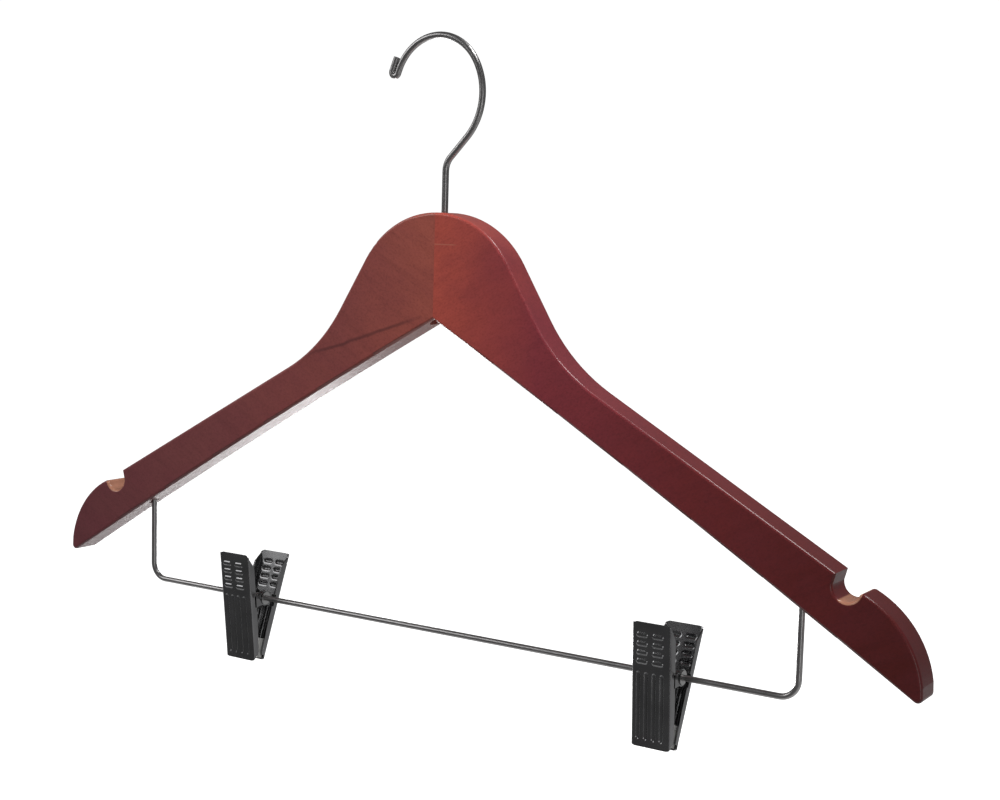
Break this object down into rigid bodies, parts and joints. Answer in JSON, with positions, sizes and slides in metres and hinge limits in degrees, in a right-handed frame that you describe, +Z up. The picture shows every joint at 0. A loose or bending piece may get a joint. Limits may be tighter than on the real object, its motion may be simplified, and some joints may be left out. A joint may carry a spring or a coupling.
{
  "type": "clothes hanger",
  "caption": "Flat wooden suit hanger with a swivelling wire hook, strap notches, a wire trouser bar and sliding spring clips for skirts or trousers.",
  "frame": {"origin": "rail seat: the inside of the hook's loop, straight above the shank, where the rail bears", "axes": "+X along the arms to the right of the front, +Y from the front face to the back, +Z up along the hook's shank"},
  "size_m": [0.4338, 0.0313, 0.2834],
  "materials": {
    "left_board": "satin lacquer, darker red-brown",
    "right_board": "satin lacquer, red-brown",
    "hook_wire": "polished black nickel",
    "bar_wire": "polished black nickel",
    "fastener": "bright plated",
    "clip_steel": "polished black nickel, pressed",
    "clip_tube": "bright plated",
    "spring_wire": "bright drawn",
    "clip_pad": "soft clear vinyl"
  },
  "bodies": {
    "hook": {"hook": "hook_wire", "hook_washer": "fastener", "hook_nut": "fastener"},
    "hanger_body": {"left_arm": "left_board", "right_arm": "right_board", "trouser_bar": "bar_wire"},
    "left_clip_tube": {"left_pivot_tube": "clip_tube"},
    "left_back_jaw": {"left_back_jaw": "clip_steel", "left_back_pad": "clip_pad", "left_spring": "spring_wire"},
    "left_front_jaw": {"left_front_jaw": "clip_steel", "left_front_pad": "clip_pad"},
    "right_clip_tube": {"right_pivot_tube": "clip_tube"},
    "right_back_jaw": {"right_back_jaw": "clip_steel", "right_back_pad": "clip_pad", "right_spring": "spring_wire"},
    "right_front_jaw": {"right_front_jaw": "clip_steel", "right_front_pad": "clip_pad"}
  },
  "joints": [
    {"name": "hook_swivel", "type": "hinge", "parent": "hook", "child": "hanger_body", "pos_m": [0, 0, -0.1064], "axis": [0, 0, 1], "continuous": true},
    {"name": "left_clip_slide", "type": "slide", "parent": "hanger_body", "child": "left_clip_tube", "axis": [1, 0, 0], "range_m": [-0.044, 0.092]},
    {"name": "left_clip_swing", "type": "hinge", "parent": "left_clip_tube", "child": "left_back_jaw", "pos_m": [-0.1048, 0, -0.2506], "axis": [1, 0, 0], "continuous": true},
    {"name": "left_jaw_open", "type": "hinge", "parent": "left_back_jaw", "child": "left_front_jaw", "pos_m": [-0.1048, 0, -0.2506], "axis": [-1, 0, 0], "range_deg": [0, 40], "stiffness_Nm_per_rad": 0.15, "springref_deg": -68.75, "deforming": ["left_spring"]},
    {"name": "right_clip_slide", "type": "slide", "parent": "hanger_body", "child": "right_clip_tube", "axis": [1, 0, 0], "range_m": [-0.098, 0.039]},
    {"name": "right_clip_swing", "type": "hinge", "parent": "right_clip_tube", "child": "right_back_jaw", "pos_m": [0.1102, 0, -0.2506], "axis": [1, 0, 0], "continuous": true},
    {"name": "right_jaw_open", "type": "hinge", "parent": "right_back_jaw", "child": "right_front_jaw", "pos_m": [0.1102, 0, -0.2506], "axis": [-1, 0, 0], "range_deg": [0, 40], "stiffness_Nm_per_rad": 0.15, "springref_deg": -68.75, "deforming": ["right_spring"]}
  ]
}
